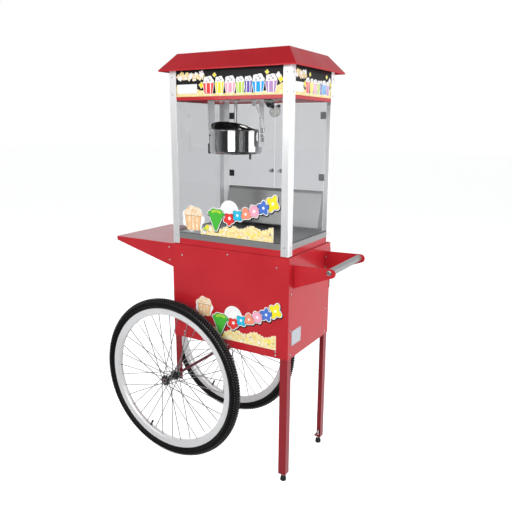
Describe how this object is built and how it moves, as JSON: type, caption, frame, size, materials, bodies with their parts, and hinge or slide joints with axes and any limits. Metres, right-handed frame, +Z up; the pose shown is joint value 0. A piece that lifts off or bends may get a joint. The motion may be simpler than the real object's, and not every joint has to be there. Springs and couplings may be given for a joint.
{
  "type": "popcorn cart",
  "caption": "Red popcorn machine with a glass cabinet and tilting kettle on a cart with two spoked wheels, two legs, side shelf and push bar.",
  "frame": {"origin": "on the floor, under the middle of the object's bounding box", "axes": "+Z up; the shop front with the fixed glass faces -Y, the doors face +Y; the push bar is toward +X, the shelf and wheels toward -X"},
  "size_m": [0.984, 0.524, 1.5645],
  "materials": {
    "red_paint": "gloss red powder coat",
    "aluminium": "satin anodised",
    "stainless": "satin",
    "chrome": "polished",
    "pane": "clear",
    "door_sheet": "clear acrylic",
    "sign_black": "gloss print on sheet",
    "black_metal": "satin black",
    "black_plastic": "satin",
    "rubber": "matt",
    "tyre": "matt, knobbed tread",
    "axle_paint": "dark red paint",
    "cable_white": "white sleeve",
    "bulb": "frosted"
  },
  "bodies": {
    "body": {"roof": "red_paint", "machine_base": "red_paint", "trim_strip": "red_paint", "control_panel": "red_paint", "cart_front_panel": "red_paint", "cart_left_panel": "red_paint", "cart_right_panel": "red_paint", "cart_top": "red_paint", "cart_floor": "red_paint", "leg_front_left": "red_paint", "leg_rear_left": "red_paint", "leg_front_right": "red_paint", "leg_rear_right": "red_paint", "shelf": "red_paint", "handle_arm_front": "red_paint", "handle_arm_rear": "red_paint", "post_front_left": "aluminium", "post_front_right": "aluminium", "post_rear_left": "aluminium", "post_rear_right": "aluminium", "bottom_rail": "aluminium", "hanger_left": "aluminium", "hanger_right": "aluminium", "handle_tube": "aluminium", "floor_plate": "stainless", "ceiling_plate": "stainless", "rear_apron": "stainless", "glass_front": "pane", "glass_left": "pane", "glass_right": "pane", "sign_front": "sign_black", "sign_left": "sign_black", "sign_right": "sign_black", "motor": "black_metal", "lamp_socket": "black_plastic", "axle": "axle_paint", "kettle_cable": "cable_white", "lamp_bulb": "bulb"},
    "wheel_front": {"wheel_front_tyre": "tyre", "wheel_front_rim": "chrome", "wheel_front_hub": "chrome"},
    "wheel_rear": {"wheel_rear_tyre": "tyre", "wheel_rear_rim": "chrome", "wheel_rear_hub": "chrome"},
    "kettle": {"kettle_pot": "stainless", "lid_bar": "stainless", "kettle_handle": "black_plastic"},
    "lid_front": {"lid_flap_front": "stainless"},
    "lid_rear": {"lid_flap_rear": "stainless"},
    "drive": {"drive_coupling": "black_metal"},
    "mixer": {"stirrer": "stainless"},
    "door_left": {"door_left": "door_sheet"},
    "door_right": {"door_right": "door_sheet"},
    "drawer": {"crumb_drawer": "stainless"},
    "rocker_power": {"switch_power": "black_plastic"},
    "rocker_heat": {"switch_heat": "black_plastic"},
    "rocker_light": {"switch_light": "black_plastic"},
    "cart_door": {"cart_door": "red_paint"},
    "foot_front": {"foot_front": "rubber"},
    "foot_rear": {"foot_rear": "rubber"}
  },
  "joints": [
    {"name": "wheel_front_spin", "type": "hinge", "parent": "body", "child": "wheel_front", "pos_m": [-0.1645, -0.224, 0.3275], "axis": [0, 1, 0], "continuous": true},
    {"name": "wheel_rear_spin", "type": "hinge", "parent": "body", "child": "wheel_rear", "pos_m": [-0.1645, 0.224, 0.3275], "axis": [0, 1, 0], "continuous": true},
    {"name": "kettle_tilt", "type": "hinge", "parent": "body", "child": "kettle", "pos_m": [0.0045, 0, 1.277], "axis": [1, 0, 0], "range_deg": [0, 100]},
    {"name": "lid_front_lift", "type": "hinge", "parent": "kettle", "child": "lid_front", "pos_m": [0.0045, -0.013, 1.3], "axis": [-1, 0, 0], "range_deg": [-20, 55]},
    {"name": "lid_rear_lift", "type": "hinge", "parent": "kettle", "child": "lid_rear", "pos_m": [0.0045, 0.013, 1.3], "axis": [1, 0, 0], "range_deg": [0, 75]},
    {"name": "drive_spin", "type": "hinge", "parent": "body", "child": "drive", "pos_m": [0.0045, 0, 1.4035], "axis": [0, 0, 1], "continuous": true},
    {"name": "stirrer_spin", "type": "hinge", "parent": "kettle", "child": "mixer", "pos_m": [0.0045, 0, 1.2112], "axis": [0, 0, 1], "continuous": true},
    {"name": "door_left_swing", "type": "hinge", "parent": "body", "child": "door_left", "pos_m": [-0.1395, 0.1775, 1.234], "axis": [0, 0, 1], "range_deg": [0, 110]},
    {"name": "door_right_swing", "type": "hinge", "parent": "body", "child": "door_right", "pos_m": [0.2985, 0.1775, 1.234], "axis": [0, 0, -1], "range_deg": [0, 110]},
    {"name": "drawer_slide", "type": "slide", "parent": "body", "child": "drawer", "axis": [0, 1, 0], "range_m": [0, 0.25]},
    {"name": "power_rock", "type": "hinge", "parent": "body", "child": "rocker_power", "pos_m": [0.0245, 0.171, 1.452], "axis": [-1, 0, 0], "range_deg": [0, 16]},
    {"name": "heat_rock", "type": "hinge", "parent": "body", "child": "rocker_heat", "pos_m": [0.0795, 0.171, 1.452], "axis": [-1, 0, 0], "range_deg": [0, 16]},
    {"name": "light_rock", "type": "hinge", "parent": "body", "child": "rocker_light", "pos_m": [0.1345, 0.171, 1.452], "axis": [-1, 0, 0], "range_deg": [0, 16]},
    {"name": "cart_door_swing", "type": "hinge", "parent": "body", "child": "cart_door", "pos_m": [0.335, 0.1758, 0.76475], "axis": [0, 0, -1], "range_deg": [0, 110]},
    {"name": "foot_front_screw", "type": "slide", "parent": "body", "child": "foot_front", "axis": [0, 0, -1], "range_m": [0, 0.012]},
    {"name": "foot_rear_screw", "type": "slide", "parent": "body", "child": "foot_rear", "axis": [0, 0, -1], "range_m": [0, 0.012]}
  ],
  "couplings": [
    {"joint": "stirrer_spin", "follows": "drive_spin", "ratio": 1}
  ]
}
